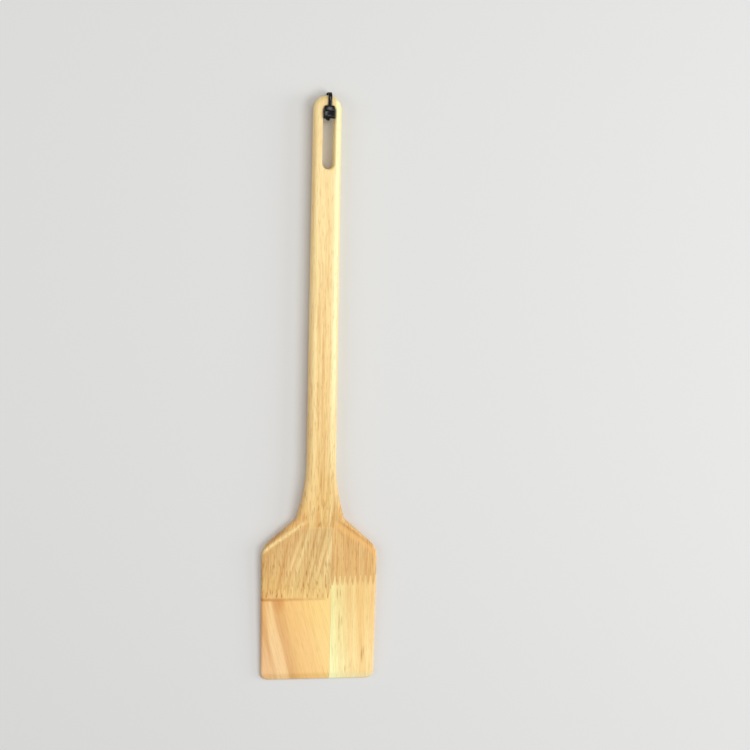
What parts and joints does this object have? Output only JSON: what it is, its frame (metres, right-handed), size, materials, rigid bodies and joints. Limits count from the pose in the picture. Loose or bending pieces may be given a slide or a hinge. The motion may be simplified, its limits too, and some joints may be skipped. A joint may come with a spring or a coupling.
{
  "type": "wooden spatula",
  "caption": "Long flat wooden spatula with a square blade, dished below the neck, a straight round-ended handle with a hanging slot, and a black tie looped through the slot.",
  "frame": {"origin": "on the flat back face, on the middle line, half-way along the wood", "axes": "+Y up the handle towards its round end, +X to the right seen from the front, +Z out of the front face"},
  "size_m": [0.0892, 0.4523, 0.0147],
  "materials": {
    "handle_wood": "sanded, lightly oiled light hardwood, straight grain",
    "side_wood": "sanded, lightly oiled light hardwood, orange-tan",
    "left_block_wood": "sanded, lightly oiled light hardwood with a slanted pale stripe",
    "right_block_wood": "sanded, lightly oiled light hardwood, cream and tan bands",
    "glue": "cured wood glue, a thin amber line",
    "tie": "black moulded nylon, slight sheen"
  },
  "bodies": {
    "wood": {"handle_stave": "handle_wood", "side_stave": "side_wood", "left_blade_block": "left_block_wood", "right_blade_block": "right_block_wood", "edge_glue_line": "glue", "left_finger_glue": "glue", "right_finger_glue": "glue"},
    "tie": {"hang_tie": "tie"}
  },
  "joints": [
    {"name": "tie_swing", "type": "hinge", "parent": "wood", "child": "tie", "pos_m": [0.0013, 0.2212, 0.00785], "axis": [1, 0, 0], "range_deg": [-6, 6]}
  ]
}
